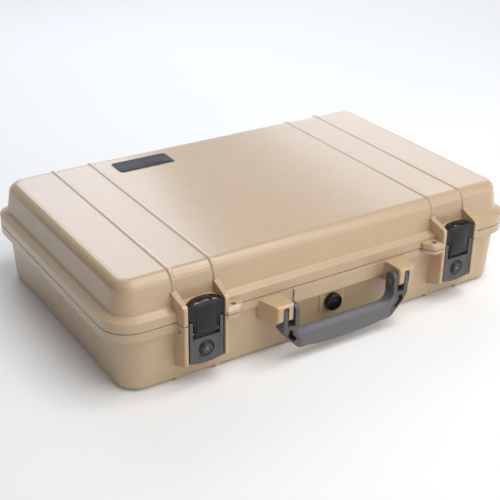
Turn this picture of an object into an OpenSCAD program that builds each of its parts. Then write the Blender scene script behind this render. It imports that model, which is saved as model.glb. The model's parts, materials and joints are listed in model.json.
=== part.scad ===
// Hard case for a laptop: a moulded base and lid on a rear hinge, with two
// locking latches, a swing handle, a pressure valve and foam inside.
// Millimetres. X runs along the case, -Y is the handle side, Z is up.

/* [Case] */
// Length over the rim
rim_l = 505; // [470:1:560]
// Depth over the rim, without handle and hinge
rim_d = 315; // [290:1:350]
// Height from the floor to the flat top of the lid
top_z = 118; // [114:0.5:130]
// Height of the joint between base and lid
split_z = 71; // [69:0.5:76]
// Gap between the two rims
split_gap = 1; // [0.6:0.1:1.4]
// Corner radius of the rim
rim_r = 32; // [28:1:40]
// Overhang of the rim at the two ends of the base
base_over_x = 9.5; // [6:0.5:12]
// Overhang of the rim at the front and back of the base
base_over_y = 3.75; // [3.25:0.25:5]
// Overhang of the rim at the two ends of the lid
lid_over_x = 8.5; // [7:0.5:12]
// Overhang of the rim at the front and back of the lid
lid_over_y = 8; // [7:0.25:9]
// Height of the rim band of the base
base_band = 9; // [7:0.5:10]
// Height of the rim band of the lid
lid_band = 10; // [8:0.5:12]
// Rise of the sloping ledge above the lid band
ledge_rise = 3.5; // [2:0.5:5]
// Draft of the base walls over their height
base_draft = 2.8; // [1:0.2:5]
// Draft of the lid walls over their height
lid_draft = 3.5; // [1:0.25:5]
// Rounding of the bottom edge
base_edge_r = 5; // [3:0.5:8]
// Rounding of the lid's top edge
lid_edge_r = 12; // [8:0.5:14]
// Thickness of the front and back walls, the floor and the roof
wall = 4; // [3.5:0.25:5]
// Thickness of the two end walls
end_wall = 6.5; // [5:0.5:9]

/* [Ribs and beads] */
// Height of the four ribs that the case stands on
foot_h = 2; // [1:0.25:3]
// Width of those ribs
foot_w = 5; // [3:0.5:8]
// Height of the beads on the lid
bead_h = 1; // [0.6:0.1:1.6]
// Width of the beads on the lid
bead_w = 2.4; // [1.6:0.1:3.2]

/* [Seal] */
// Distance of the tongue from the outer edge of the rim
seal_in = 6.2; // [5.8:0.1:6.6]
// Width of the tongue on the base
tongue_w = 2.4; // [1.6:0.1:2.8]
// Height of the tongue above the base rim
tongue_h = 2.6; // [2:0.1:3]
// Width of the groove in the lid
groove_w = 4.4; // [4:0.1:4.6]
// Height of the gasket
gasket_h = 2.5; // [2:0.1:3]

/* [Hinge] */
// Distance of each hinge from the middle
hinge_x = 150; // [110:1:175]
// Length of one knuckle
knuckle_l = 12; // [9:0.5:14]
// Radius of the knuckles
knuckle_r = 6.5; // [5.5:0.25:7]
// Diameter of the hinge pins
hinge_pin_d = 4; // [3:0.1:5]

/* [Latch] */
// Distance of each latch from the middle
latch_x = 160.3; // [150:0.1:170]
// Distance between the middles of the two guards of a latch
guard_span = 45.1; // [44.6:0.1:50]
// Thickness of the guards
guard_t = 4.4; // [3:0.1:4.8]
// Reach of the guards beyond the rim
guard_out = 13.2; // [13:0.1:14.5]
// Height of the lid guards at the wall
guard_top = 99.3; // [96:0.1:101]
// Width of the lever
lever_w = 37; // [35:0.2:37.8]
// Thickness of the lever plate
lever_t = 3.2; // [2.8:0.1:3.6]
// Height of the lower end of the lever
lever_bottom = 24.6; // [22:0.2:28]
// Width of the upper part of the hook
hook_w = 37.4; // [35:0.2:39]
// Width of the hook at its lower end
hook_neck_w = 25; // [22:0.5:26]
// Thickness of the hook
hook_t = 3; // [2.6:0.1:3.4]
// Diameter of the pin that carries the lever
lever_pin_d = 4; // [3:0.1:4.4]
// Diameter of the pin that joins hook and lever
hook_pin_d = 3.2; // [2.6:0.1:3.6]
// Diameter of the lock bezel
bezel_d = 17.6; // [16.8:0.2:19]
// Diameter of the lock core
core_d = 8.6; // [7.6:0.1:9]
// Reach of the cam from the core's axis
cam_l = 10.8; // [10.4:0.1:11.2]

/* [Padlock tabs] */
// Diameter of the padlock holes
padlock_d = 5.6; // [4.5:0.1:6.5]
// Thickness of the tab on the lid
lid_tab_t = 6.5; // [5:0.25:8]
// Thickness of the tab on the base
base_tab_t = 4; // [3:0.2:5]

/* [Handle] */
// Distance of the middle of each lug slot from the middle of the case
lug_x = 76.8; // [70:0.1:84]
// Reach of the lugs beyond the rim
lug_out = 24.5; // [24:0.1:26]
// Width of the slot in each lug
slot_w = 6.8; // [6.4:0.1:7.6]
// Thickness of the lug cheeks beside the slot
cheek_t = 6.1; // [5:0.1:7]
// Thickness of the handle arms
arm_t = 5; // [4:0.1:5.6]
// Depth of the handle, front to back
arm_d = 14; // [13:0.2:15]
// Height of the grip, top to bottom
grip_h = 25.5; // [22:0.5:28]
// Clearance of the grip over the floor
grip_z = 8; // [6:0.5:10]
// Rise of the handle's lower edge towards the elbows
elbow_rise = 5.5; // [4:0.5:8]
// Diameter of the handle pins
handle_pin_d = 5; // [4:0.1:6]

/* [Valve] */
// Place of the valve along the case, from the middle
valve_x = 0; // [-20:0.5:20]
// Diameter of the valve knob
knob_d = 19.4; // [18:0.2:21]
// Height of the valve knob
knob_h = 6.2; // [6:0.2:8]
// Diameter of the threaded body
valve_d = 12; // [10:0.25:12.5]

/* [Foam] */
// Length of the laptop pocket
pocket_l = 384; // [330:2:420]
// Depth of the laptop pocket, front to back
pocket_d = 262; // [220:2:270]
// Height of the laptop pocket
pocket_h = 42; // [25:1:46]
// Thickness of the lid foam
lid_foam_t = 22; // [15:1:28]

/* [Hidden] */

$fn = 48;
tan_c = [0.78, 0.69, 0.57];
black_c = [0.10, 0.10, 0.11];
lever_c = [0.30, 0.30, 0.30];
frame_c = [0.27, 0.27, 0.28];
grip_c = [0.42, 0.42, 0.42];
steel_c = [0.72, 0.73, 0.74];
foam_c = [0.20, 0.20, 0.21];
seal_c = [0.14, 0.14, 0.14];

// clearances
fit = 0.05;          // radial clearance of a pin in its bore
gap = 0.3;           // least clearance between moving faces
soft_gap = 0.4;      // clearance round the foam
seat_gap = 0.1;      // clearance over the gasket
butt_gap = 0.02;     // clearance between a tab and the guard beside it
eps = 0.01;
corner_n = 9;        // steps round each vertical corner
edge_n = 5;          // steps round the top and bottom edges

// rim and walls
rim_x = rim_l / 2;
rim_y = rim_d / 2;
base_top = split_z - split_gap / 2;
lid_low = split_z + split_gap / 2;
band_low = base_top - base_band;
band_high = lid_low + lid_band;
ledge_z = band_high + ledge_rise;
base_x = rim_x - base_over_x;
base_y = rim_y - base_over_y;
base_r = rim_r - base_over_y;
lid_x = rim_x - lid_over_x;
lid_y = rim_y - lid_over_y;
lid_r = rim_r - lid_over_y;
floor_z = foot_h + wall;
roof_z = top_z - wall;
roof_r = lid_edge_r - wall;
case_top = top_z + bead_h;

// hollows of the base and of the lid
hollow_x = base_x - end_wall;
hollow_y = base_y - wall;
hollow_r = base_r - wall;
hollow_top = base_top + tongue_h + 1;
hollow_edge = floor_z + base_edge_r;
dome_x = lid_x - end_wall;
dome_y = lid_y - wall;
dome_r = lid_r - wall;

// hinge axis, behind the rim at the height of the joint
hinge_y = rim_y + knuckle_r + 1.5;
knuckle_gap = 0.5;
knuckle_n = 5;
hinge_len = knuckle_n * knuckle_l + (knuckle_n - 1) * knuckle_gap;

// latch: places in the plane across the case
guard_y = -rim_y - guard_out;
guard_flare = 2;
lever_front = guard_y + 1.4;
lever_hub_r = 4.2;
lever_pin_y = -rim_y - lever_hub_r - 0.4;
lever_pin_z = split_z - 8;
hook_pin_y = lever_front + 3.3;
hook_pin_z = lever_pin_z - 4.2;
arm_top = split_z + 1.3;
arm_depth = 3.3;
plate_top = hook_pin_z - 5.5;
plate_in = 0.4;
rail_w = 3.5;
flange_d = 10;
bottom_r = 64;
lever_half = lever_w / 2;
hub_x = guard_span / 2 - guard_t / 2 - gap;
hook_front = lever_front + 0.5;
hook_top = split_z + 22.5;
hook_rise = 1;
hook_shoulder_r = 5;
hook_crown = 3;
hook_arc = 2.6;
hook_step_z = arm_top + 2.7;
hook_neck_top = lever_half - rail_w - 0.5;
hook_nose_y = -rim_y - 0.5;
hook_lip_h = 9.5;
hook_barrel_r = 3;
skirt_t = 3.2;
skirt_back = 8.3;
panel_step = 0.45;
strike_gap = 1;
strike_top = band_high + 6.5;
lock_z = (plate_top + lever_bottom) / 2 + 1.9;
lock_body_d = bezel_d - 3.2;
bezel_out = 0.9;
dome_out = 2.6;
lock_body_back = lever_front + 10;
cam_t = 2;
cam_front = lock_body_back + 0.8;
tang_w = 4;
keeper_w = 9;
keeper_t = 1.5;
keeper_lip = 2;
keeper_x = latch_x + cam_l + 0.5;

// padlock tab on the inner side of each latch
tab_x = latch_x - guard_span / 2 - 10.2;
tab_hole_y = -rim_y - 6.7;
tab_front = guard_y - 1.3;
tab_end = tab_x - 12.1;

// handle: hangs from its pins in the lugs
lug_front = -rim_y - lug_out;
lug_high = base_top - 2.2;
lug_slot_top = lug_high - 2.8;
lug_low = lug_high - 19.5;
lug_flare_in = 1.9;
lug_flare_out = 7.7;
lug_in = lug_x - slot_w / 2 - cheek_t;
lug_outer = lug_x + slot_w / 2 + cheek_t;
slot_deep = 11.7;
handle_pin_y = lug_front + 7.2;
handle_pin_z = lug_slot_top - slot_deep;
handle_pin_end = lug_x + slot_w / 2 + 3.8;
outer_arm_x = lug_x;
inner_arm_x = lug_in - 2 - arm_t / 2;
arm_top_z = lug_slot_top - 0.6;
crotch_z = lug_low - 6.6;
handle_x = outer_arm_x + arm_t / 2;
handle_front = handle_pin_y - arm_d / 2;
handle_back = handle_pin_y + arm_d / 2;
arm_in = inner_arm_x - arm_t / 2;
grip_top = grip_z + grip_h;
fillet_r = crotch_z - grip_top;
elbow_x = handle_x - 19.5;
elbow_slope = 1.1;
core_h = 10;
core_t = 7;
core_z = grip_z + grip_h / 2;

// brow over the valve, pad and valve
brow_low = base_top - 17.2;
brow_out = 1.8;
brow_half = 52;
valve_z = brow_low - 14.9;
pad_w = 31;
pad_low = valve_z - 10.5;
pad_face = -base_y - 0.2;
seal_t = 1.2;
cap_t = 1;
cap_d = knob_d - 3.6;
stem_d = 6;
nut_w = 18;
nut_t = 4;
nut_seat = -hollow_y + base_draft;
knob_back = pad_face - 0.4;

// small slot in each end of the base
strap_y = -rim_y + 73.5;
strap_z = split_z - 22.5;

// front and rear reach set the middle of the case
mid_y = (min(handle_front, lug_front) + hinge_y + knuckle_r) / 2;

// ---- helpers ----

// moves the rim-centred drawing so that the whole case is centred
module place() translate([0, -mid_y, 0]) children();

// one rounded rectangle of points at height z, half sizes hx and hy
function ring(hx, hy, r, z) = [
    for (q = [0:3], k = [0:corner_n])
        let (a = 90 * (q + k / corner_n),
             sx = q == 0 || q == 3 ? 1 : -1,
             sy = q < 2 ? 1 : -1)
        [sx * (hx - r) + r * cos(a), sy * (hy - r) + r * sin(a), z]];

// closed solid through a list of rings that have the same number of points
module skin(rings) {
    n = len(rings[0]);
    last = (len(rings) - 1) * n;
    polyhedron(
        points = [for (r = rings) each r],
        faces = concat(
            [[for (i = [0:n - 1]) i]],
            [for (j = [0:len(rings) - 2], i = [0:n - 1])
                let (a = j * n + i, b = j * n + (i + 1) % n)
                [a, a + n, b + n, b]],
            [[for (i = [n - 1:-1:0]) last + i]]));
}
module loft(stack) skin([for (s = stack) ring(s[0], s[1], s[2], s[3])]);

function unit(v) = v / norm(v);

// polygon with rounded corners from [x, y, radius] entries
function rounded(q, n = 5) = [
    for (i = [0:len(q) - 1])
        let (p = [q[i][0], q[i][1]],
             prev = q[(i + len(q) - 1) % len(q)],
             next = q[(i + 1) % len(q)],
             u = unit([prev[0], prev[1]] - p),
             v = unit([next[0], next[1]] - p),
             r = q[i][2],
             half = acos(u * v) / 2,
             c = p + unit(u + v) * r / sin(half),
             s = p + u * r / tan(half) - c,
             e = p + v * r / tan(half) - c,
             a0 = atan2(s[1], s[0]),
             turn = atan2(s[0] * e[1] - s[1] * e[0], s * e))
        each (r == 0 ? [p] : [for (k = [0:n]) c + r * [cos(a0 + turn * k / n), sin(a0 + turn * k / n)]])];

// extrudes a [y, z] outline along X, from x0 to x1
module across(x0, x1) translate([x0, 0, 0]) rotate([90, 0, 90]) linear_extrude(x1 - x0) children();

// extrudes an [x, z] outline along Y, from y0 to y1
module through(y0, y1) translate([0, y1, 0]) rotate([90, 0, 0]) linear_extrude(y1 - y0) children();

// extrudes an [x, y] outline along Z, from z0 to z1
module upward(z0, z1) translate([0, 0, z0]) linear_extrude(z1 - z0) children();

// round bars along X and Y
module bar_x(x0, x1, d) translate([x0, 0, 0]) rotate([0, 90, 0]) cylinder(d = d, h = x1 - x0);
module bar_y(y0, y1, d) translate([0, y0, 0]) rotate([-90, 0, 0]) cylinder(d = d, h = y1 - y0);

// body of revolution about a Y axis, from [radius, -y] points
module spin_y() rotate([90, 0, 0]) rotate_extrude() children();

// the left of each pair is the right one mirrored
module side(which) mirror([which < 0 ? 1 : 0, 0, 0]) children();
module both() for (s = [0, 1]) mirror([s, 0, 0]) children();
module both_2d() for (s = [0, 1]) mirror([s, 0]) children();

// ---- shells ----

bead_places = [for (s = [-1, 1], t = [-1, 1]) s * (latch_x + t * guard_span / 2)];

// rounded lower edge that draws in from half sizes hx and hy
function low_edge_stack(hx, hy, r, z) = [
    for (k = [0:edge_n])
        let (a = 90 * k / edge_n, out = base_edge_r * (1 - sin(a)) + base_draft)
        [hx - out, hy - out, r - out, z + base_edge_r * (1 - cos(a))]];

base_stack = concat(low_edge_stack(base_x, base_y, base_r, foot_h), [[base_x, base_y, base_r, band_low]]);

module base_body() {
    loft(base_stack);
    loft([[rim_x, rim_y, rim_r, band_low], [rim_x, rim_y, rim_r, base_top]]);
}

module base_feet() intersection() {
    translate([0, 0, -foot_h]) loft(base_stack);
    for (x = bead_places)
        translate([x - foot_w / 2, -rim_y, 0]) cube([foot_w, rim_d, floor_z - 0.5]);
}

module base_hollow() loft(concat(
    low_edge_stack(hollow_x, hollow_y, hollow_r, floor_z), [[hollow_x, hollow_y, hollow_r, hollow_top]]));

// rounded upper edge of radius e below height z
function top_edge_stack(hx, hy, r, e, z) = [
    for (k = [0:edge_n])
        let (a = 90 * k / edge_n, out = e * (1 - cos(a)) + lid_draft)
        [hx - out, hy - out, r - out, z - e * (1 - sin(a))]];

function lid_stack(grow) = concat(
    [[lid_x + grow, lid_y + grow, lid_r + grow, ledge_z]],
    top_edge_stack(lid_x + grow, lid_y + grow, lid_r + grow, lid_edge_r, top_z + grow));

module lid_body() {
    loft(concat([[rim_x, rim_y, rim_r, lid_low], [rim_x, rim_y, rim_r, band_high]], lid_stack(0)));
    intersection() {
        loft(lid_stack(bead_h));
        for (x = bead_places)
            translate([x - bead_w / 2, -rim_y, ledge_z]) cube([bead_w, rim_d, case_top - ledge_z]);
    }
}

module lid_hollow() loft(concat(
    [[dome_x, dome_y, dome_r, lid_low - 1], [dome_x, dome_y, dome_r, ledge_z]],
    top_edge_stack(dome_x, dome_y, dome_r, roof_r, roof_z)));

// ring of constant width that follows the rim
module rim_ring(inset, w, z0, z1) difference() {
    loft([for (z = [z0, z1]) [rim_x - inset + w / 2, rim_y - inset + w / 2, rim_r - inset + w / 2, z]]);
    loft([for (z = [z0 - 1, z1 + 1])
        [rim_x - inset - w / 2, rim_y - inset - w / 2, rim_r - inset - w / 2, z]]);
}

// ---- guards, tabs, strike and keeper at the latches ----

// pair of plates beside a latch, thicker towards the wall on the far side
module guard_pair(z0, z1) for (s = [-1, 1]) intersection() {
    across(latch_x - guard_span, latch_x + guard_span) children();
    upward(z0, z1) polygon(rounded([
        [latch_x + s * (guard_span / 2 - guard_t / 2), guard_y, 1],
        [latch_x + s * (guard_span / 2 + guard_t / 2), guard_y, 1.6],
        [latch_x + s * (guard_span / 2 + guard_t / 2 + guard_flare), -base_y, 0],
        [latch_x + s * (guard_span / 2 + guard_t / 2 + guard_flare), -dome_y - 1, 0],
        [latch_x + s * (guard_span / 2 - guard_t / 2), -dome_y - 1, 0]]));
}

module lid_guards() guard_pair(lid_low, guard_top + 1) polygon(rounded([
    [-dome_y - 1, lid_low, 0],
    [guard_y, lid_low, 1.2],
    [guard_y, guard_top - 8.3, 5],
    [-lid_y + 1, guard_top, 2],
    [-dome_y - 1, guard_top, 0]]));

module base_guards() guard_pair(lever_bottom - 6, base_top) polygon(rounded([
    [-base_y + 3.5, base_top, 0],
    [guard_y, base_top, 1.2],
    [guard_y, lever_bottom + 2.2, 3],
    [-base_y + 2, lever_bottom - 4.6, 1],
    [-base_y + 3.5, lever_bottom - 4.6, 0]]));

// padlock tabs: they butt against the band of the rim and the side of the guard
module tab_plan() polygon(rounded([
    [latch_x - guard_span / 2, -rim_y, 0],
    [latch_x - guard_span / 2, tab_front, 0],
    [tab_x - 4, tab_front, 8],
    [tab_end, -rim_y - 3, 3],
    [tab_end, -rim_y, 0]]));
module lid_tab(which) color(tan_c) place() side(which) difference() {
    intersection() {
        upward(lid_low, lid_low + lid_tab_t + 1) tab_plan();
        across(tab_end - 1, latch_x) polygon([
            [-rim_y + 1, lid_low], [tab_front, lid_low], [tab_front, lid_low + lid_tab_t - 3],
            [tab_hole_y - 3.6, lid_low + lid_tab_t], [-rim_y + 1, lid_low + lid_tab_t]]);
    }
    padlock_hole();
    translate([-butt_gap, 0, 0]) lid_guards();
}
module base_tab(which) color(tan_c) place() side(which) difference() {
    upward(base_top - base_tab_t, base_top) tab_plan();
    padlock_hole();
    translate([-butt_gap, 0, 0]) base_guards();
}
module base_tab_left() base_tab(-1);
module base_tab_right() base_tab(1);
module lid_tab_left() lid_tab(-1);
module lid_tab_right() lid_tab(1);
module padlock_hole() translate([tab_x, tab_hole_y, base_top - base_tab_t - 1])
    cylinder(d = padlock_d, h = base_tab_t + split_gap + lid_tab_t + 3);

// rib on the lid ledge behind the hook's lip
module strike() across(latch_x - hook_w / 2 - 1, latch_x + hook_w / 2 + 1) polygon(rounded([
    [-lid_y + 2, band_high - 2, 0],
    [hook_nose_y + strike_gap, band_high - 2, 0],
    [hook_nose_y + strike_gap, strike_top, 1.2],
    [-lid_y + 2, strike_top, 0]]));

// keeper on the base wall, with a lip that the lock cam turns behind
keeper_front = cam_front - gap - keeper_lip;
module keeper() upward(lock_z - keeper_w / 2, lock_z + keeper_w / 2) {
    translate([keeper_x, keeper_front])
        square([keeper_t, -base_y + base_draft + 0.6 - keeper_front]);
    translate([latch_x + lock_body_d / 2 + 1.2, keeper_front])
        square([keeper_x - latch_x - lock_body_d / 2 - 1.2 + eps, keeper_lip]);
}

// ---- hinge knuckles ----

function knuckle_at(i) = hinge_x - hinge_len / 2 + i * (knuckle_l + knuckle_gap);
module knuckles(list, web_low, web_high) for (i = list) {
    translate([0, hinge_y, split_z]) bar_x(knuckle_at(i), knuckle_at(i) + knuckle_l, 2 * knuckle_r);
    translate([knuckle_at(i), rim_y - 2, web_low])
        cube([knuckle_l, hinge_y - rim_y + 2, web_high - web_low]);
}
module hinge_bore() translate([0, hinge_y, split_z])
    bar_x(hinge_x - hinge_len / 2 - 1, hinge_x + hinge_len / 2 + 1, hinge_pin_d + 2 * fit);

// ---- handle lugs ----

module lug() difference() {
    intersection() {
        upward(lug_low - 4, lug_high + 1) polygon(rounded([
            [lug_in - lug_flare_in, -base_y + 3.5, 0],
            [lug_in - lug_flare_in, -base_y, 0],
            [lug_in, -rim_y - 5, 6],
            [lug_in, lug_front, 2.5],
            [lug_outer, lug_front, 2.5],
            [lug_outer + lug_flare_out, -rim_y, 0],
            [lug_outer + lug_flare_out, -base_y + 3.5, 0]]));
        across(lug_in - lug_flare_in - 1, lug_outer + lug_flare_out + 1) polygon(rounded([
            [-base_y + 3.5, lug_high, 0],
            [lug_front, lug_high, 3],
            [lug_front, lug_low, 5],
            [-base_y, lug_low - 2.5, 1],
            [-base_y + 3.5, lug_low - 2.5, 0]]));
    }
    through(lug_front - 1, handle_pin_y + slot_deep) polygon(rounded([
        [lug_x - slot_w / 2, lug_low - 5, 0],
        [lug_x + slot_w / 2, lug_low - 5, 0],
        [lug_x + slot_w / 2, lug_slot_top, 2],
        [lug_x - slot_w / 2, lug_slot_top, 2]]));
}
module handle_bore(x1) translate([0, handle_pin_y, handle_pin_z])
    bar_x(arm_in - 1, x1, handle_pin_d + 2 * fit);

// deeper band between the lugs, the brow, the valve pad and the nut's boss
module front_middle() {
    translate([-lug_in - 1, -rim_y, brow_low]) cube([2 * lug_in + 2, base_over_y + 2, base_top - brow_low]);
    translate([-brow_half, -rim_y - brow_out, brow_low])
        cube([2 * brow_half, wall, base_top - brow_low - 1.4]);
    translate([valve_x - pad_w / 2, pad_face, pad_low]) cube([pad_w, wall, brow_low - pad_low + 1]);
    translate([valve_x, 0, valve_z]) bar_y(-hollow_y, nut_seat, nut_w + 5);
}

module strap_slot() translate([base_x - base_draft - 2, strap_y, strap_z]) rotate([-18, 0, 0])
    rotate([0, 90, 0]) linear_extrude(10) polygon(rounded([[-1.5, -4.4, 0.8], [2, 0, 0.8], [-1.5, 4.4, 0.8]], 3));

module base_shell() color(tan_c) place() difference() {
    union() {
        difference() {
            base_body();
            base_hollow();
        }
        base_feet();
        rim_ring(seal_in, tongue_w, base_top - 1, base_top + tongue_h);
        front_middle();
        both() {
            base_guards();
            keeper();
            lug();
            knuckles([0, 2, 4], split_z - knuckle_r, base_top);
        }
    }
    both() {
        hinge_bore();
        handle_bore(handle_pin_end + 0.2);
        strap_slot();
        translate([latch_x, lever_pin_y, lever_pin_z])
            bar_x(-guard_span, guard_span, lever_pin_d + 2 * fit);
    }
    translate([valve_x, 0, valve_z]) bar_y(-rim_y - 5, nut_seat + 5, valve_d + 2 * fit);
}

gasket_low = base_top + tongue_h + soft_gap;
gasket_top = gasket_low + gasket_h;
module lid_shell() color(tan_c) place() difference() {
    union() {
        difference() {
            lid_body();
            lid_hollow();
        }
        both() {
            lid_guards();
            strike();
            knuckles([1, 3], lid_low, split_z + knuckle_r);
        }
    }
    rim_ring(seal_in, groove_w, lid_low - 1, gasket_top + seat_gap);
    both() hinge_bore();
}

module lid_gasket() color(seal_c) place()
    rim_ring(seal_in, groove_w - 0.4, gasket_low, gasket_top);

module hinge_pin(which) color(steel_c) place() side(which) translate([0, hinge_y, split_z])
    bar_x(hinge_x - hinge_len / 2, hinge_x + hinge_len / 2, hinge_pin_d);
module hinge_pin_left() hinge_pin(-1);
module hinge_pin_right() hinge_pin(1);

// ---- latch ----

module latch_pin(which) color(steel_c) place() side(which) translate([latch_x, lever_pin_y, lever_pin_z])
    bar_x(-guard_span / 2 - guard_t / 2, guard_span / 2 + guard_t / 2, lever_pin_d);
module latch_pin_left() latch_pin(-1);
module latch_pin_right() latch_pin(1);

// side plate of the lever, from its arm tip down to the lower end
module lever_side() {
    polygon(rounded([
        [lever_front, lever_bottom - 1, 0],
        [lever_front, arm_top, 1.4],
        [lever_front + arm_depth, arm_top, 1.4],
        [lever_front + arm_depth, lever_pin_z + lever_hub_r, 2],
        [lever_pin_y, lever_pin_z + lever_hub_r, 0],
        [lever_pin_y, lever_pin_z - lever_hub_r, 0],
        [lever_front + flange_d, plate_top - 4, 4],
        [lever_front + flange_d, lever_bottom + 8, 6],
        [lever_front + lever_t + 1, lever_bottom - 1, 0]]));
    translate([lever_pin_y, lever_pin_z]) circle(lever_hub_r);
}

// front outline of the lever, with its curved lower end
lever_outline = concat(
    [[latch_x - lever_half, arm_top + 1]],
    [for (k = [-6:6]) let (x = lever_half * k / 6)
        [latch_x + x, lever_bottom + bottom_r - sqrt(bottom_r * bottom_r - x * x)]],
    [[latch_x + lever_half, arm_top + 1]]);

module latch_lever(which) color(lever_c) place() side(which) difference() {
    union() {
        intersection() {
            through(lever_front - 1, lever_pin_y + lever_hub_r + 1) polygon(lever_outline);
            union() {
                across(latch_x - lever_half, latch_x - lever_half + rail_w) lever_side();
                across(latch_x + lever_half - rail_w, latch_x + lever_half) lever_side();
                across(latch_x - lever_half + 1, latch_x + lever_half - 1) polygon([
                    [lever_front + plate_in, lever_bottom - 1], [lever_front + plate_in, plate_top],
                    [lever_front + lever_t, plate_top], [lever_front + lever_t, lever_bottom - 1]]);
            }
        }
        for (s = [-1, 1]) {
            translate([latch_x, lever_pin_y, lever_pin_z])
                bar_x(s < 0 ? -hub_x : lever_half - 1, s < 0 ? 1 - lever_half : hub_x, 2 * lever_hub_r);
            translate([latch_x + s * (lever_half - rail_w - 2), 0, plate_top - 2.2])
                bar_y(lever_front - 0.1, lever_front + 1, 2.6);
        }
    }
    translate([latch_x, lever_pin_y, lever_pin_z]) bar_x(-guard_span, guard_span, lever_pin_d + 2 * fit);
    translate([latch_x, hook_pin_y, hook_pin_z]) bar_x(-guard_span, guard_span, hook_pin_d + 2 * fit);
    translate([latch_x, 0, lock_z])
        bar_y(lever_front - 1, lever_front + lever_t + 1, lock_body_d + 2 * fit);
}
module latch_lever_left() latch_lever(-1);
module latch_lever_right() latch_lever(1);

// side outline of the hook, o is how proud its outer skin stands
function hook_side(o) = rounded([
    [hook_front - o + 0.5, hook_pin_z, 0],
    [hook_front - o, hook_top - hook_rise, hook_shoulder_r],
    [hook_nose_y, hook_top, 1.2],
    [hook_nose_y, hook_top - hook_lip_h, 0.8],
    [hook_nose_y - hook_t, hook_top - hook_lip_h, 0.8],
    [hook_nose_y - hook_t, hook_top - hook_crown - hook_t, 1],
    [hook_front + hook_t, hook_top - hook_rise - hook_crown - hook_t, 2],
    [hook_front + hook_t, hook_pin_z, 0]]);

// front outline: crowned top, shoulders at full width, tapering neck
function hook_face(half, o) = let (neck = min(half, hook_neck_w / 2), up = min(half, hook_neck_top)) concat(
    [for (k = [-6:6]) let (x = half * k / 6)
        [latch_x + x, hook_top - hook_crown * pow(2 * x / hook_w, 2) - 2 * panel_step + o]],
    [[latch_x + half, hook_step_z], [latch_x + up, hook_step_z - 1.5],
     [latch_x + neck, hook_pin_z], [latch_x - neck, hook_pin_z],
     [latch_x - up, hook_step_z - 1.5], [latch_x - half, hook_step_z]]);

// plan outline: the back edge is an arc
function hook_plan(half) = concat(
    [[latch_x - half, hook_front - 2]],
    [for (k = [-6:6]) let (x = half * k / 6)
        [latch_x + x, hook_nose_y - hook_arc * pow(2 * x / hook_w, 2)]],
    [[latch_x + half, hook_front - 2]]);

module hook_layer(half, o) intersection() {
    across(latch_x - half, latch_x + half) polygon(hook_side(o));
    through(hook_front - 3, hook_nose_y + 3) polygon(hook_face(half, o));
    upward(hook_pin_z - 1, hook_top + 1) polygon(hook_plan(half));
}

// side walls of the hook above the lever's arms
module hook_skirts() intersection() {
    for (x = [-hook_w / 2, hook_w / 2 - skirt_t])
        across(latch_x + x, latch_x + x + skirt_t) polygon(rounded([
            [hook_front, hook_step_z, 0],
            [hook_front, hook_top - hook_rise, hook_shoulder_r],
            [hook_nose_y, hook_top, 0],
            [hook_nose_y, hook_top - hook_lip_h, 1],
            [hook_front + skirt_back, hook_step_z, 3]]));
    through(hook_front - 3, hook_nose_y + 3) polygon(hook_face(hook_w / 2, 0));
    upward(hook_pin_z, hook_top + 1) polygon(hook_plan(hook_w / 2));
}

module latch_hook(which) color(black_c) place() side(which) difference() {
    union() {
        hook_layer(hook_w / 2, 0);
        hook_layer(hook_w / 2 - 3, panel_step);
        hook_layer(hook_w / 2 - 5.2, 2 * panel_step);
        hook_skirts();
        translate([latch_x, hook_pin_y, hook_pin_z])
            bar_x(-hook_neck_w / 2, hook_neck_w / 2, 2 * hook_barrel_r);
    }
    translate([latch_x, hook_pin_y, hook_pin_z]) bar_x(-lever_w, lever_w, hook_pin_d + 2 * fit);
}
module latch_hook_left() latch_hook(-1);
module latch_hook_right() latch_hook(1);

module hook_pin(which) color(steel_c) place() side(which) translate([latch_x, hook_pin_y, hook_pin_z])
    bar_x(-lever_half + 0.2, lever_half - 0.2, hook_pin_d);
module hook_pin_left() hook_pin(-1);
module hook_pin_right() hook_pin(1);

// ---- lock in the lever plate ----

plate_y = lever_front + plate_in;
module lock_body(which) color(lever_c) place() side(which) translate([latch_x, plate_y, lock_z])
    spin_y() polygon([
        [core_d / 2 + fit, plate_y - lock_body_back],
        [core_d / 2 + fit, dome_out],
        [core_d / 2 + 1, dome_out],
        [lock_body_d / 2 - 0.2, bezel_out + 0.3],
        [lock_body_d / 2, bezel_out - 0.5],
        [lock_body_d / 2 + 0.4, bezel_out - 0.5],
        [lock_body_d / 2 + 0.7, bezel_out],
        [bezel_d / 2 - 0.3, bezel_out],
        [bezel_d / 2, bezel_out - 0.4],
        [bezel_d / 2, 0],
        [lock_body_d / 2, 0],
        [lock_body_d / 2, plate_y - lock_body_back]]);
module lock_body_left() lock_body(-1);
module lock_body_right() lock_body(1);

// core with the ring slot of a round key
key_r = core_d / 2 - 1;
key_w = 1.2;
core_front = plate_y - dome_out + 0.3;
module lock_core(which) color(steel_c) place() side(which) translate([latch_x, 0, lock_z]) {
    difference() {
        bar_y(core_front, cam_front, core_d);
        bar_y(core_front - 1, core_front + 5, 2 * key_r);
    }
    bar_y(core_front + 0.2, core_front + 6, 2 * (key_r - key_w));
    translate([-tang_w / 2, cam_front - eps, -tang_w / 2])
        cube([tang_w, cam_t + 0.6, tang_w]);
}
module lock_core_left() lock_core(-1);
module lock_core_right() lock_core(1);

module lock_cam(which) color(steel_c) place() side(which) translate([latch_x, 0, lock_z])
    through(cam_front, cam_front + cam_t) difference() {
        union() {
            circle(4.2);
            translate([0, 3 - cam_l]) circle(3);
            translate([-3, 3 - cam_l]) square([6, cam_l - 3]);
        }
        square(tang_w + 2 * fit, center = true);
    }
module lock_cam_left() lock_cam(-1);
module lock_cam_right() lock_cam(1);

// ---- handle ----

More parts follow.
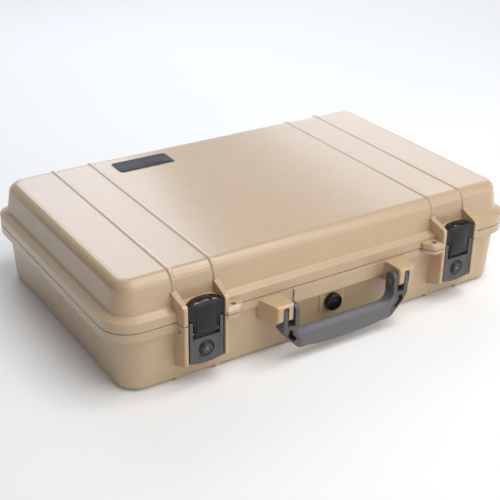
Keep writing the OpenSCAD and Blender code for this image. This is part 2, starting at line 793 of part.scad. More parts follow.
module handle_pin(which) color(steel_c) place() side(which) translate([0, handle_pin_y, handle_pin_z])
    bar_x(arm_in + 0.4, handle_pin_end, handle_pin_d);
module handle_pin_left() handle_pin(-1);
module handle_pin_right() handle_pin(1);

module arm(x) across(x - arm_t / 2, x + arm_t / 2) {
    translate([handle_pin_y, arm_top_z - arm_d / 2]) circle(d = arm_d);
    translate([handle_front, crotch_z - 4]) square([arm_d, arm_top_z - arm_d / 2 - crotch_z + 4]);
}

// lower edge of the handle: bowed along the grip, then up to the elbows
function lower(x) = abs(x) <= elbow_x
    ? grip_z + elbow_rise * pow(abs(x) / elbow_x, 3)
    : grip_z + elbow_rise + (abs(x) - elbow_x) * elbow_slope + pow(max(0, abs(x) - handle_x + 6) / 6, 2) * 2;
function lower_soft(x) = (lower(x - 3) + 2 * lower(x) + lower(x + 3)) / 4;

// upper edge: level along the grip, then a fillet up to the arms
function upper(x) = let (a = abs(x) - arm_in + fillet_r)
    a <= 0 ? grip_top : a >= fillet_r ? crotch_z : crotch_z - sqrt(fillet_r * fillet_r - a * a);

// section of the handle at x, a rounded rectangle in the Y-Z plane
function handle_ring(x) = let (
        f = min(1, max(0, (abs(x) - arm_in + 14) / 14)),
        lo = lower_soft(x), hi = upper(x),
        r = min(6.2 * (1 - f) + 2.4 * f, (hi - lo) / 2 - 0.1))
    [for (q = [0:3], k = [0:4])
        let (a = 90 * (q + k / 4), sy = q == 0 || q == 3 ? 1 : -1, sz = q < 2 ? 1 : -1)
        [x, handle_pin_y + sy * (arm_d / 2 - r) + r * cos(a),
         (lo + hi) / 2 + sz * ((hi - lo) / 2 - r) + r * sin(a)]];

half_stations = concat(
    [12, 24, 36, arm_in - 14],
    [for (f = [1, 0.7, 0.45, 0.25, 0.1, 0.03, 0]) arm_in - f * fillet_r],
    [for (f = [0.2, 0.4, 0.65, 0.85, 1]) arm_in + f * (handle_x - arm_in)]);
handle_stations = concat([for (i = [len(half_stations) - 1:-1:0]) -half_stations[i]], [0], half_stations);
module handle_body() skin([for (x = handle_stations) handle_ring(x)]);

// the sleeve meets the frame in a chevron at each elbow
function sleeve_end(o) = [
    [arm_in + 0.4 + o, 0], [arm_in - 0.8 + o, grip_z + 5.5], [arm_in - 3.3 + o, grip_z + 14.7],
    [arm_in - 1.9 + o, grip_z + 17.8], [arm_in + 3.5 + o, grip_top + 0.3], [arm_in + 0.2 + o, crotch_z + o]];
module sleeve_area(o) let (e = sleeve_end(o))
    polygon(concat(e, [for (i = [len(e) - 1:-1:0]) [-e[i][0], e[i][1]]]));

window_outline = rounded([
    [handle_x - 6.3, crotch_z - 3.7, 1.4],
    [handle_x - 11.3, crotch_z - 3.9, 1.4],
    [handle_x - 11.7, crotch_z - 10, 1.5],
    [arm_in + 1.4, crotch_z - 16.2, 1],
    [handle_x - 12.8, crotch_z - 18.5, 1.2],
    [handle_x - 5.4, crotch_z - 10.7, 3]]);

module core_bar(o) translate([-arm_in, handle_pin_y - core_t / 2 - o, core_z - core_h / 2 - o])
    cube([2 * arm_in, core_t + 2 * o, core_h + 2 * o]);

module handle_frame() color(frame_c) place() {
    difference() {
        union() {
            handle_body();
            both() {
                arm(inner_arm_x);
                arm(outer_arm_x);
            }
        }
        through(handle_front - 1, handle_back + 1) {
            both_2d() polygon(window_outline);
            sleeve_area(0.05);
        }
        both() handle_bore(handle_x + 1);
    }
    core_bar(0);
}

module handle_grip() color(grip_c) place() difference() {
    intersection() {
        handle_body();
        through(handle_front - 1, handle_back + 1) sleeve_area(0);
    }
    core_bar(fit);
}

// ---- valve ----

module valve_body() color(black_c) place() translate([valve_x, 0, valve_z]) difference() {
    union() {
        bar_y(pad_face - seal_t - cap_t, pad_face - seal_t, cap_d);
        bar_y(pad_face - seal_t - eps, nut_seat + nut_t + 1, valve_d);
    }
    bar_y(pad_face - seal_t - cap_t - 1, nut_seat, stem_d + 2 * fit);
}

module valve_nut() color(black_c) place() translate([valve_x, 0, valve_z]) difference() {
    translate([0, nut_seat, 0]) rotate([-90, 0, 0]) cylinder(d = nut_w / cos(30), h = nut_t, $fn = 6);
    bar_y(nut_seat - 1, nut_seat + nut_t + 1, valve_d + 2 * fit);
}

module valve_seal() color(seal_c) place() translate([valve_x, 0, valve_z]) difference() {
    bar_y(pad_face - seal_t, pad_face, cap_d - 0.6);
    bar_y(pad_face - seal_t - 1, pad_face + 1, valve_d + 2 * fit);
}

// knob: a cap over the body, with finger grooves and a stem
module valve_knob() color(black_c) place() translate([valve_x, 0, valve_z]) {
    difference() {
        translate([0, knob_back, 0]) spin_y() polygon(concat(
            [[0, 0], [knob_d / 2, 0]],
            [for (k = [0:4]) let (a = 90 * k / 4, r = 1.8)
                [knob_d / 2 - r + r * cos(a), knob_h - r + r * sin(a)]],
            [[knob_d / 2 - 3, knob_h - 0.5], [4, knob_h - 0.5], [3.4, knob_h], [0, knob_h]]));
        bar_y(pad_face - seal_t - cap_t - gap, knob_back + 1, cap_d + 0.8);
        for (a = [0:60:300]) rotate([0, a, 0]) translate([knob_d / 2 + 1.7, 0, 0])
            bar_y(knob_back - knob_h - 1, knob_back - knob_h + 2.4, 5);
    }
    bar_y(pad_face - seal_t - cap_t - gap - eps, nut_seat - 1, stem_d);
}

// ---- foam ----

foam_top = base_top - 4;
function hollow_in(z) = base_draft * (hollow_top - z) / (hollow_top - hollow_edge);
module foam_base() color(foam_c) place() difference() {
    loft([for (s = [
            [base_draft + base_edge_r, floor_z + soft_gap],
            [base_draft, hollow_edge + soft_gap],
            [hollow_in(foam_top), foam_top]])
        [hollow_x - s[0] - soft_gap, hollow_y - s[0] - soft_gap, hollow_r - s[0] - soft_gap, s[1]]]);
    upward(foam_top - pocket_h, foam_top + 1) polygon(rounded([
        for (c = [[1, 1], [-1, 1], [-1, -1], [1, -1]]) [c[0] * pocket_l / 2, c[1] * pocket_d / 2, 12]]));
    translate([valve_x, nut_seat, valve_z]) cube([nut_w + 8, 2 * (nut_t + 3), nut_w + 8], center = true);
}

module foam_lid() color(foam_c) place() loft([for (s = [
        [lid_draft, roof_z - lid_foam_t],
        [lid_draft, roof_z - roof_r],
        [lid_draft + roof_r, roof_z - soft_gap]])
    [dome_x - s[0] - soft_gap, dome_y - s[0] - soft_gap, dome_r - s[0] - soft_gap, s[1]]]);

base_shell();
lid_shell();
lid_gasket();
hinge_pin_left();
hinge_pin_right();
handle_frame();
handle_grip();
handle_pin_left();
handle_pin_right();
latch_pin_left();
latch_pin_right();
latch_lever_left();
latch_lever_right();
latch_hook_left();
latch_hook_right();
hook_pin_left();
hook_pin_right();
lock_body_left();
lock_body_right();
lock_core_left();
lock_core_right();
lock_cam_left();
lock_cam_right();
valve_body();
valve_nut();
valve_seal();
valve_knob();
foam_base();
foam_lid();
base_tab_left();
base_tab_right();
lid_tab_left();
lid_tab_right();
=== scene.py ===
import bpy
import bmesh
import json
import math
from mathutils import Vector, Matrix


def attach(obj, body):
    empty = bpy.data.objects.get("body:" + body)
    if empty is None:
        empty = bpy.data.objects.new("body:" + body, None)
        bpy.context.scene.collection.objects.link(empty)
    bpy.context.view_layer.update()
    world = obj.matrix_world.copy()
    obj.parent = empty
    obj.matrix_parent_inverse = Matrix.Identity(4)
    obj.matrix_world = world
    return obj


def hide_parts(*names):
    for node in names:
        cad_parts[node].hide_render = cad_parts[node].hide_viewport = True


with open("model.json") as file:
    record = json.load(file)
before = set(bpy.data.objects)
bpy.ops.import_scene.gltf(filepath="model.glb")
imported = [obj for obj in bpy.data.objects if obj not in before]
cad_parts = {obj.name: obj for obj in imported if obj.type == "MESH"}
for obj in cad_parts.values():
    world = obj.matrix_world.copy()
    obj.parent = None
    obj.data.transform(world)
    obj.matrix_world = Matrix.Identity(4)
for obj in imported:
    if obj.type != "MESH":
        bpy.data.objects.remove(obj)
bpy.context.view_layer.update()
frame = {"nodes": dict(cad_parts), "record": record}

# sizes in millimetres, in the row frame; MM turns them into metres
MM = 0.001
MIDDLE_Y = 5.0       # the middle of the shells' rims, from front to back
LATCH_X = 160.3      # the middle of each latch, from the middle of the case
LOCK_Z = 40.85       # the middle of each lock
PLATE_Y = -163.9     # the front of each lever's plate
BEADS_X = (-182.85, -137.75, 137.75, 182.85)
SIDES = ((-1, "left"), (1, "right"))


# ---- node helpers ----

def calc(tree, operation, a, b):
    """A Math node on sockets or numbers."""
    node = tree.nodes.new("ShaderNodeMath")
    node.operation = operation
    for i, value in enumerate((a, b)):
        if isinstance(value, (int, float)):
            node.inputs[i].default_value = value
        else:
            tree.links.new(value, node.inputs[i])
    return node.outputs[0]


def step(tree, value, low, high):
    """0 below low, 1 above high, smooth between them."""
    node = tree.nodes.new("ShaderNodeMapRange")
    node.interpolation_type = "SMOOTHSTEP"
    node.inputs["From Min"].default_value = low
    node.inputs["From Max"].default_value = high
    tree.links.new(value, node.inputs["Value"])
    return node.outputs["Result"]


def seen_ray(tree):
    """1 for what the camera, gloss or glass sees."""
    path = tree.nodes.new("ShaderNodeLightPath")
    shiny = calc(tree, "MAXIMUM", path.outputs["Is Glossy Ray"], path.outputs["Is Transmission Ray"])
    return calc(tree, "MAXIMUM", path.outputs["Is Camera Ray"], shiny)


# ---- materials ----

def shell_edge(tree, where, edge):
    """Edge radius of the shells in metres: broad on the lid's crown and upright corners, small elsewhere."""
    broad_radius = 0.0036
    xyz = tree.nodes.new("ShaderNodeSeparateXYZ")
    tree.links.new(where.outputs["Object"], xyz.inputs[0])
    from_side = calc(tree, "ABSOLUTE", xyz.outputs[0], 0)
    from_middle = calc(tree, "ABSOLUTE", calc(tree, "SUBTRACT", xyz.outputs[1], MIDDLE_Y * MM), 0)
    z = xyz.outputs[2]
    from_latch = calc(tree, "ABSOLUTE", calc(tree, "SUBTRACT", from_side, LATCH_X * MM), 0)
    off_beads = step(tree, from_latch, 0.0262, 0.0285)
    crown = calc(tree, "MULTIPLY", step(tree, z, 0.088, 0.091), off_beads)
    corner = calc(tree, "MULTIPLY", step(tree, from_side, 0.206, 0.212),
                  step(tree, from_middle, 0.108, 0.114))
    under_band = calc(tree, "SUBTRACT", 1.0, step(tree, z, 0.053, 0.057))
    wall = calc(tree, "MULTIPLY", under_band, step(tree, z, 0.006, 0.010))
    broad = calc(tree, "MAXIMUM", crown, calc(tree, "MULTIPLY", corner, wall))
    return calc(tree, "ADD", calc(tree, "MULTIPLY", broad, broad_radius), edge)


def finish_of(name, colour, rough, grain, grain_h, mottle, metallic=0.0, coat=0.0, coat_rough=0.1,
              edge=0.0, cells=False, specular=0.5, wide=None, edge_wear_and_highlight=0.0):
    """A procedural finish: mottled colour, a fine moulded grain, softened edges, painted paler partly as wear
    and partly as a painted highlight.
    """
    m = bpy.data.materials.new(name)
    m.use_nodes = True
    tree = m.node_tree
    tree.nodes.clear()
    new, link = tree.nodes.new, tree.links.new
    out = new("ShaderNodeOutputMaterial")
    shader = new("ShaderNodeBsdfPrincipled")
    link(shader.outputs[0], out.inputs[0])
    shader.inputs["Metallic"].default_value = metallic
    shader.inputs["Specular IOR Level"].default_value = specular
    if coat:
        shader.inputs["Coat Weight"].default_value = coat
        shader.inputs["Coat Roughness"].default_value = coat_rough
    where = new("ShaderNodeTexCoord")
    # colour: slow clouds
    cloud = new("ShaderNodeTexNoise")
    cloud.inputs["Scale"].default_value = 45
    cloud.inputs["Detail"].default_value = 5
    cloud.inputs["Roughness"].default_value = 0.65
    link(where.outputs["Object"], cloud.inputs["Vector"])
    ramp = new("ShaderNodeValToRGB")
    dark, light = ramp.color_ramp.elements
    dark.position, light.position = 0.25, 0.75
    dark.color = (*[c * (1 - mottle) for c in colour], 1)
    light.color = (*[min(1, c * (1 + mottle)) for c in colour], 1)
    link(cloud.outputs["Fac"], ramp.inputs["Fac"])
    # gloss: broken up by a finer noise
    fine = new("ShaderNodeTexNoise")
    fine.inputs["Scale"].default_value = grain * 0.35
    fine.inputs["Detail"].default_value = 3
    link(where.outputs["Object"], fine.inputs["Vector"])
    gloss = new("ShaderNodeMapRange")
    gloss.inputs["From Min"].default_value = 0.3
    gloss.inputs["From Max"].default_value = 0.7
    gloss.inputs["To Min"].default_value = rough * 0.88
    gloss.inputs["To Max"].default_value = min(1, rough * 1.12)
    link(fine.outputs["Fac"], gloss.inputs["Value"])
    link(gloss.outputs["Result"], shader.inputs["Roughness"])
    # grain: pebbles or open cells, on slow waves
    pebble = new("ShaderNodeTexVoronoi")
    pebble.feature = "F1" if cells else "SMOOTH_F1"
    pebble.inputs["Scale"].default_value = grain
    link(where.outputs["Object"], pebble.inputs["Vector"])
    bump = new("ShaderNodeBump")
    bump.inputs["Strength"].default_value = 0.5
    bump.inputs["Distance"].default_value = grain_h
    bump.invert = True
    link(pebble.outputs["Distance"], bump.inputs["Height"])
    wave = new("ShaderNodeBump")
    wave.inputs["Strength"].default_value = 0.25
    wave.inputs["Distance"].default_value = grain_h * 2
    link(fine.outputs["Fac"], wave.inputs["Height"])
    link(wave.outputs["Normal"], bump.inputs["Normal"])
    link(bump.outputs["Normal"], shader.inputs["Normal"])
    if not edge:
        link(ramp.outputs["Color"], shader.inputs["Base Color"])
        return m
    # edges: softened, and painted paler where the softened normal leaves the face's own, partly as wear and
    # partly as a painted highlight along the edges
    soft = new("ShaderNodeBevel")
    soft.samples = 6
    soft.inputs["Radius"].default_value = edge
    if wide:
        link(wide(tree, where, edge), soft.inputs["Radius"])
    link(soft.outputs["Normal"], wave.inputs["Normal"])
    face = new("ShaderNodeNewGeometry")
    turn = new("ShaderNodeVectorMath")
    turn.operation = "DOT_PRODUCT"
    link(soft.outputs["Normal"], turn.inputs[0])
    link(face.outputs["True Normal"], turn.inputs[1])
    # mask for the paler edges: part wear, part painted highlight
    wear_and_highlight_mask = new("ShaderNodeMapRange")
    wear_and_highlight_mask.inputs["From Min"].default_value = 0.93
    wear_and_highlight_mask.inputs["From Max"].default_value = 0.78
    wear_and_highlight_mask.inputs["To Max"].default_value = edge_wear_and_highlight
    link(turn.outputs["Value"], wear_and_highlight_mask.inputs["Value"])
    wear_and_highlight_tint = new("ShaderNodeMix")
    wear_and_highlight_tint.data_type = "RGBA"
    wear_and_highlight_tint.inputs["B"].default_value = (*[c + (1 - c) * 0.5 for c in colour], 1)
    link(wear_and_highlight_mask.outputs["Result"], wear_and_highlight_tint.inputs["Factor"])
    link(ramp.outputs["Color"], wear_and_highlight_tint.inputs["A"])
    link(wear_and_highlight_tint.outputs["Result"], shader.inputs["Base Color"])
    return m


# name, colour, roughness, grain's scale and height, mottle
finishes = {
    "shell": finish_of("shell_tan", (0.55, 0.385, 0.225), 0.42, 1100, 0.00004, 0.035,
                       coat=0.8, coat_rough=0.17, edge=0.0007, wide=shell_edge, edge_wear_and_highlight=0.75),
    "hook": finish_of("hook_black", (0.005, 0.005, 0.006), 0.17, 1500, 0.00002, 0.15,
                      edge=0.0008, specular=0.42, edge_wear_and_highlight=0.04),
    "frame": finish_of("frame_grey", (0.085, 0.084, 0.084), 0.38, 1300, 0.00004, 0.10,
                       edge=0.0007, edge_wear_and_highlight=0.1),
    "grip": finish_of("grip_grey", (0.135, 0.137, 0.142), 0.42, 1000, 0.00005, 0.08,
                      edge=0.0022, edge_wear_and_highlight=0.05),
    "lock": finish_of("lock_dark", (0.016, 0.016, 0.018), 0.20, 1600, 0.00002, 0.12,
                      edge=0.0005, edge_wear_and_highlight=0.12),
    "core": finish_of("core_steel", (0.20, 0.20, 0.21), 0.26, 1600, 0.00002, 0.12,
                      metallic=0.9, edge=0.0003),
    "pin": finish_of("pin_steel", (0.34, 0.32, 0.29), 0.34, 1400, 0.00002, 0.10,
                     metallic=0.9, edge=0.0004),
    "seal": finish_of("seal_rubber", (0.014, 0.014, 0.014), 0.62, 900, 0.00006, 0.15,
                      edge=0.0004),
    "foam": finish_of("foam_cells", (0.022, 0.022, 0.024), 0.92, 520, 0.0011, 0.22,
                      cells=True, specular=0.2),
}
slot_of = {s["node"]: s["material_slot"] for s in frame["record"]["subparts"]}
for name, obj in frame["nodes"].items():
    obj.data.materials.clear()
    obj.data.materials.append(finishes[slot_of[name]])


# ---- mesh helpers ----

def quarter():
    """Sine and cosine of 0, 30, 60 and 90 degrees."""
    angles = [math.radians(30 * k) for k in range(4)]
    return [(math.sin(a), math.cos(a)) for a in angles]


def ring(size, grow, z, cy=MIDDLE_Y, n=10):
    """Rounded rectangle of points; size is its half length, half depth and corner radius."""
    hx, hy, r = (v + grow for v in size)
    pts = []
    for q in range(4):
        sx = 1 if q in (0, 3) else -1
        sy = 1 if q < 2 else -1
        for k in range(n + 1):
            a = math.radians(90 * (q + k / n))
            pts.append((sx * (hx - r) + r * math.cos(a), cy + sy * (hy - r) + r * math.sin(a), z))
    return pts


def rounded_rect(x0, x1, y0, y1, r, n=6):
    """Rounded rectangle in the plane, from its limits and corner radius."""
    pts = []
    for cx, cy, q in ((x1 - r, y1 - r, 0), (x0 + r, y1 - r, 1), (x0 + r, y0 + r, 2), (x1 - r, y0 + r, 3)):
        for k in range(n + 1):
            a = math.radians(90 * (q + k / n))
            pts.append((cx + r * math.cos(a), cy + r * math.sin(a)))
    return pts


def skin(name, rings, hoop=False):
    """A closed mesh through rings that have the same number of points; a hoop's last ring meets its first."""
    bm = bmesh.new()
    rows = [[bm.verts.new(Vector(p) * MM) for p in r] for r in rings]
    n = len(rows[0])
    for a, b in zip(rows, rows[1:] + rows[:1] if hoop else rows[1:]):
        for i in range(n):
            bm.faces.new((a[i], a[(i + 1) % n], b[(i + 1) % n], b[i]))
    if not hoop:
        bm.faces.new(rows[0][::-1])
        bm.faces.new(rows[-1])
    bmesh.ops.recalc_face_normals(bm, faces=bm.faces)
    me = bpy.data.meshes.new(name)
    bm.to_mesh(me)
    bm.free()
    for f in me.polygons:
        f.use_smooth = True
    o = bpy.data.objects.new(name, me)
    bpy.context.scene.collection.objects.link(o)
    return o


def inset(pts, d):
    """The outline moved inwards by d."""
    centre = Vector((sum(p[0] for p in pts) / len(pts), sum(p[1] for p in pts) / len(pts)))
    res = []
    for i, p in enumerate(pts):
        along = (Vector(pts[(i + 1) % len(pts)]) - Vector(pts[i - 1])).normalized()
        inwards = Vector((-along.y, along.x))
        if inwards.dot(centre - Vector(p)) < 0:
            inwards = -inwards
        res.append(Vector(p) + inwards * d)
    return res


def plate(name, pts, z0, z1, chamfer, place=Matrix.Identity(4)):
    """A thin plate from an outline, with a chamfered upper edge; place sets it in the row frame."""
    levels = ((pts, z0), (pts, z1 - chamfer),
              (inset(pts, chamfer * 0.3), z1 - chamfer * 0.3), (inset(pts, chamfer), z1))
    o = skin(name, [[(*p, z) for p in line] for line, z in levels])
    o.data.transform(place)
    return o


def dress(piece, finish, body):
    """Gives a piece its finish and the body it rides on."""
    piece.data.materials.clear()
    piece.data.materials.append(finish)
    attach(piece, body)


# ---- foam: own pieces, with rounded lips and cut cells ----

def foam_base():
    """Block that fills the base, with a laptop pocket and a notch for the valve's nut."""
    side, top, lip = (235.76, 149.01, 23.5), 66.5, 1.6
    pocket, pocket_floor, toe = (192, 131, 12), 24.5, 1.2
    notch, notch_y = (13, 7, 1.2), -141.95
    rings = [ring((228.3, 141.55, 16.05), 0, 6.4), ring((233.3, 146.55, 21.05), 0, 11.4)]
    rings += [ring(side, -lip * (1 - c), top - lip + lip * s) for s, c in quarter()]
    rings += [ring(pocket, lip * (1 - s), top - lip + lip * c) for s, c in quarter()]
    rings += [ring(pocket, -toe * (1 - c), pocket_floor + toe - toe * s) for s, c in quarter()]
    o = skin("foam_tray", rings)
    tool = skin("notch_tool", [ring(notch, 0, z, cy=notch_y) for z in (25.4, 51.4)])
    cut = o.modifiers.new("nut_notch", "BOOLEAN")
    cut.operation = "DIFFERENCE"
    cut.solver = "EXACT"
    cut.object = tool
    depsgraph = bpy.context.evaluated_depsgraph_get()
    me = bpy.data.meshes.new_from_object(o.evaluated_get(depsgraph))
    o.modifiers.clear()
    o.data = me
    bpy.data.objects.remove(tool)
    return o


def foam_lid():
    """Pad in the lid, with a rounded lower lip and drawn in under the lid's crown."""
    side, bottom, lip = (233.6, 141.6, 16.1), 92, 2.2
    rings = [ring(side, -lip * (1 - s), bottom + lip * (1 - c)) for s, c in quarter()]
    return skin("foam_pad", rings + [ring(side, 0, 106), ring(side, -8, 113.6)])


for piece, node, body in ((foam_base(), "foam_base", "base"), (foam_lid(), "foam_lid", "lid")):
    dress(piece, finishes["foam"], body)
    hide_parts(node)


# ---- label plate on the lid, bare, and the raised lip around it ----

LABEL = (-117.6, -48.9, 99.4, 128.6, 4.2)   # x from and to, y from and to, corner radius
SEAT_Z = 117.9                              # a little under the lid's flat top


def label_lip():
    """A slim raised hoop; each row is how far it lies outside the plate, and its height."""
    x0, x1, y0, y1, r = LABEL
    profile = ((1.1, 0), (1.1, 0.4), (0.6, 0.6), (0.1, 0.4), (0.1, 0))
    rows = [[(*p, SEAT_Z + up) for p in rounded_rect(x0 - out, x1 + out, y0 - out, y1 + out, r + out)]
            for out, up in profile]
    return skin("label_lip", rows, hoop=True)


label_finish = finish_of("label_black", (0.012, 0.012, 0.013), 0.40, 1800, 0.00002, 0.1, specular=0.2)
dress(plate("label_plate", rounded_rect(*LABEL), SEAT_Z, SEAT_Z + 0.65, 0.35), label_finish, "lid")
dress(label_lip(), finishes["shell"], "lid")


# ---- beads on the lid: a hollow foot along each side, over the front, top and back ----

# distance from the bead's middle, and height on the bead
FOOT_SECTION = [(1.0, -0.25), (1.12, 0.95), (1.4, 0.66), (1.8, 0.36), (2.3, 0.14), (2.9, 0.02), (3.2, -0.25)]


def bead_foot(name, x, side):
    """The foot on one side, -1 or 1, of the bead at x, from the front ledge to the back one."""
    wall_y, edge_z, edge_r = 146, 106, 12   # where the lid's wall turns into its crown, and the radius
    crown = [math.radians(6 * k) for k in range(16)]
    half = [(149.5, 84.4, 0)]               # on the ledge: y, z, and whether it rises with the bead
    half += [(wall_y - edge_r * (1 - math.cos(a)), edge_z + edge_r * math.sin(a), 1) for a in crown]
    run = [(-1, *p) for p in half] + [(1, *p) for p in reversed(half)]
    return skin(name, [[(x + side * dx, MIDDLE_Y + end * (y + up), z + up * rises)
                        for dx, up in FOOT_SECTION] for end, y, z, rises in run])


for i, x in enumerate(BEADS_X):
    for side, word in ((-1, "low"), (1, "high")):
        dress(bead_foot("bead_foot_%d_%s" % (i + 1, word), x, side), finishes["shell"], "lid")


# ---- hooks: the domed middle of the front, over the shoulder ----

# the skin's middle and its seat on the hook, as y and z from the rims' middle, nose to neck
HOOK_SKIN = [
    (-158.3, 93.75, -158.3, 93.35), (-161.5, 94.05, -161.5, 93.1), (-164.6, 93.85, -164.6, 92.85),
    (-166.8, 93.2, -166.3, 92.2), (-168.6, 91.9, -168.0, 91.1), (-169.8, 89.9, -169.2, 89.3),
    (-170.5, 87.2, -169.65, 87.0), (-170.9, 83.5, -169.68, 83.5), (-171.05, 78.5, -169.68, 78.5),
    (-170.95, 72.5, -169.68, 72.5), (-170.6, 67, -169.68, 67), (-170.15, 63, -169.68, 63),
    (-169.8, 60.5, -169.68, 60.5)]


def between(rows, steps):
    """Catmull-Rom points through the rows."""
    res = []
    last = len(rows) - 1
    for i in range(last):
        a, b, c, d = (rows[max(0, min(last, i + k))] for k in (-1, 0, 1, 2))
        for j in range(steps):
            t = j / steps
            res.append(tuple(0.5 * (2 * q + (r - p) * t + (2 * p - 5 * q + 4 * r - s) * t * t
                                    + (3 * q - p - 3 * r + s) * t ** 3)
                             for p, q, r, s in zip(a, b, c, d)))
    return res + [rows[-1]]


def hook_dome(name, cx):
    """Slim skin, highest in the middle, whose back is sunk into the hook."""
    half, columns, sunk = 11.6, 16, 0.5
    crown, hook_half = 3, 18.7      # the hook's top falls by crown at its sides
    rings = []
    for skin_y, skin_z, seat_y, seat_z in between(HOOK_SKIN, 4):
        crowned = crown * (0.25 + 0.75 * max(0, min(1, (seat_z - 84) / 8)))
        loop = []
        for k in range(columns + 1):
            x = half * (2 * k / columns - 1)
            full = 1 - abs(x / half) ** 2.6
            loop.append((cx + x, MIDDLE_Y + seat_y + (skin_y - seat_y) * full,
                         seat_z + (skin_z - seat_z) * full - (x / hook_half) ** 2 * crowned))
        back_z = seat_z - (half / hook_half) ** 2 * crowned - sunk
        loop += [(cx + dx, MIDDLE_Y + seat_y + sunk, back_z) for dx in (half - 0.3, 0.3 - half)]
        rings.append(loop)
    return skin(name, rings)


for side, which in SIDES:
    dress(hook_dome("hook_dome_" + which, side * LATCH_X), finishes["hook"], "hook_" + which)


# ---- small position marks beside each lock ----

def around(r, angle):
    """Point on a circle, at an angle in degrees."""
    return r * math.cos(math.radians(angle)), r * math.sin(math.radians(angle))


def arc_band(r, start, end, width, n=10):
    """Outline of a band along an arc."""
    angles = [start + (end - start) * k / n for k in range(n + 1)]
    return [around(r + width / 2, a) for a in angles] + [around(r - width / 2, a) for a in reversed(angles)]


# from the lock's middle: x to the right and y up, seen from the front
MARKS = {
    "lock_tick_": [(-9.7, -9.2), (-9.3, -10.0), (-6.6, -8.6), (-7.0, -7.8)],
    "lock_dot_": [(11.6 + x, 0.4 + y) for x, y in (around(0.65, 30 * k) for k in range(12))],
    "lock_arc_": arc_band(9.9, 222, 262, 0.5),
}
mark_finish = finish_of("mark_dark", (0.014, 0.014, 0.014), 0.35, 1800, 0.00001, 0.1)
to_front = Matrix(((1, 0, 0, 0), (0, 0, -1, 0), (0, 1, 0, 0), (0, 0, 0, 1)))
for side, which in SIDES:
    at_lock = Matrix.Translation(Vector((side * LATCH_X, PLATE_Y, LOCK_Z)) * MM) @ to_front
    for name, pts in MARKS.items():
        dress(plate(name + which, pts, -0.05, 0.16, 0.06, at_lock), mark_finish, "lever_" + which)


# ---- floor and dark card ----

def plain(name, colour, rough, glow=0.0):
    """Studio card. With glow it is a little paler to the camera and in gloss, and plain white far off."""
    m = bpy.data.materials.new(name)
    m.use_nodes = True
    tree = m.node_tree
    new, link = tree.nodes.new, tree.links.new
    shader = tree.nodes["Principled BSDF"]
    where = new("ShaderNodeTexCoord")
    noise = new("ShaderNodeTexNoise")
    noise.inputs["Scale"].default_value = 3
    ramp = new("ShaderNodeValToRGB")
    ramp.color_ramp.elements[0].color = (*[c * 0.985 for c in colour], 1)
    ramp.color_ramp.elements[1].color = (*colour, 1)
    link(where.outputs["Object"], noise.inputs["Vector"])
    link(noise.outputs["Fac"], ramp.inputs["Fac"])
    link(ramp.outputs["Color"], shader.inputs["Base Color"])
    shader.inputs["Roughness"].default_value = rough
    if glow:
        shader.inputs["Emission Color"].default_value = (1, 1, 1, 1)
        link(calc(tree, "MULTIPLY", seen_ray(tree), glow), shader.inputs["Emission Strength"])
        distance = new("ShaderNodeVectorMath")
        distance.operation = "LENGTH"
        link(where.outputs["Object"], distance.inputs[0])
        far = step(tree, distance.outputs["Value"], 0.8, 2.4)
        white = new("ShaderNodeEmission")
        white.inputs["Color"].default_value = (0.9, 0.9, 0.9, 1)
        both = new("ShaderNodeMixShader")
        link(calc(tree, "MULTIPLY", seen_ray(tree), far), both.inputs[0])
        link(shader.outputs[0], both.inputs[1])
        link(white.outputs[0], both.inputs[2])
        link(both.outputs[0], tree.nodes["Material Output"].inputs["Surface"])
    return m


def aimed(at, to):
    """Place at a point, with -Z towards another."""
    at, to = Vector(at), Vector(to)
    return Matrix.Translation(at) @ (to - at).to_track_quat("-Z", "Y").to_matrix().to_4x4()


def sheet(name, size, material, place):
    """Flat stage piece."""
    bm = bmesh.new()
    bmesh.ops.create_grid(bm, x_segments=2, y_segments=2, size=0.5)
    bmesh.ops.scale(bm, vec=(size[0], size[1], 1), verts=bm.verts)
    me = bpy.data.meshes.new(name)
    bm.to_mesh(me)
    bm.free()
    me.materials.append(material)
    o = bpy.data.objects.new(name, me)
    o.matrix_world = place
    bpy.context.scene.collection.objects.link(o)
    return o


floor_finish = plain("floor_pale", (0.905, 0.90, 0.89), 0.8, glow=0.055)
card_finish = plain("flag_dark", (0.03, 0.03, 0.03), 0.9)
sheet("floor", (14, 14), floor_finish, Matrix.Translation((0, 0, -0.0002)))
card = sheet("flag_left", (1.3, 0.55), card_finish, aimed((-0.64, 0.08, 0.36), (0, 0.08, 0.36)))
card.visible_camera = False


# ---- lamps, in metres and watts ----

def softbox(name, at, to, size, watts, colour=(1, 1, 1), turn=0):
    """Rectangular lamp, aimed at a point and turned about its own axis by degrees."""
    d = bpy.data.lights.new(name, "AREA")
    d.shape = "RECTANGLE"
    d.size, d.size_y = size
    d.energy = watts
    d.color = colour
    o = bpy.data.objects.new(name, d)
    o.matrix_world = aimed(at, to) @ Matrix.Rotation(math.radians(turn), 4, "Z")
    bpy.context.scene.collection.objects.link(o)


COOL = (0.87, 0.97, 1.14)
softbox("top_box", (0.35, -0.75, 1.9), (0.05, -0.15, 0), (1.6, 1.6), 23)
softbox("shoulder_box", (0.56, -0.20, 1.42), (-0.05, -0.17, 0.09), (0.30, 0.30), 2.4)
softbox("front_right", (0.75, -1.9, 1.02), (0, 0, 0.03), (2.8, 1.7), 16.5)
softbox("back_left", (0.185, 1.3, 1.018), (-0.15, 0.03, 0.118), (0.95, 0.75), 5.8, COOL, turn=27)
softbox("back_right", (1.375, 1.3, 0.732), (0.12, 0, 0.118), (1.27, 0.5), 3.8, COOL, turn=-30)


# ---- world ----

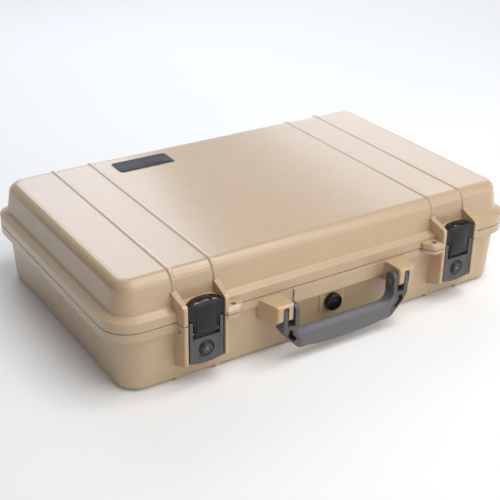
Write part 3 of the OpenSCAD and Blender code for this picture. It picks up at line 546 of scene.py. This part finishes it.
def studio_world():
    """A soft gradient, and plain white near the horizon for what is seen."""
    world = bpy.data.worlds.new("studio")
    world.use_nodes = True
    tree = world.node_tree
    new, link = tree.nodes.new, tree.links.new
    dome = tree.nodes["Background"]
    dome.inputs["Strength"].default_value = 0.40
    where = new("ShaderNodeTexCoord")
    turned = new("ShaderNodeMapping")
    turned.inputs["Rotation"].default_value = (0, math.radians(90), 0)
    gradient = new("ShaderNodeTexGradient")
    ramp = new("ShaderNodeValToRGB")
    ramp.color_ramp.elements[0].color = (0.55, 0.55, 0.56, 1)
    ramp.color_ramp.elements[1].color = (0.85, 0.86, 0.88, 1)
    link(where.outputs["Generated"], turned.inputs["Vector"])
    link(turned.outputs["Vector"], gradient.inputs["Vector"])
    link(gradient.outputs["Fac"], ramp.inputs["Fac"])
    link(ramp.outputs["Color"], dome.inputs["Color"])
    direction = new("ShaderNodeSeparateXYZ")
    link(where.outputs["Generated"], direction.inputs[0])
    low_down = calc(tree, "SUBTRACT", 1.0, step(tree, direction.outputs[2], 0.15, 0.40))
    horizon = new("ShaderNodeBackground")
    horizon.inputs["Color"].default_value = (0.9, 0.9, 0.9, 1)
    sky = new("ShaderNodeMixShader")
    link(calc(tree, "MULTIPLY", seen_ray(tree), low_down), sky.inputs[0])
    link(dome.outputs[0], sky.inputs[1])
    link(horizon.outputs[0], sky.inputs[2])
    link(sky.outputs[0], tree.nodes["World Output"].inputs["Surface"])
    return world


bpy.context.scene.world = studio_world()


# ---- camera at the photograph's viewing angle ----

CAMERA_AT = (-0.58842, -0.90588, 0.58671)
forward = Vector((0.4805, 0.7486, -0.4568)).normalized()
upwards = Vector((0.2348, 0.392, 0.8895))
right = forward.cross(upwards).normalized()
axes = Matrix((right, right.cross(forward), -forward)).transposed()
cam_data = bpy.data.cameras.new("camera")
cam_data.lens = 75.44
cam_data.sensor_width = 36
cam_data.clip_start, cam_data.clip_end = 0.05, 50
cam = bpy.data.objects.new("camera", cam_data)
bpy.context.scene.collection.objects.link(cam)
cam.matrix_world = Matrix.Translation(CAMERA_AT) @ axes.to_4x4()
bpy.context.scene.camera = cam
bpy.context.scene.view_settings.view_transform = "Standard"
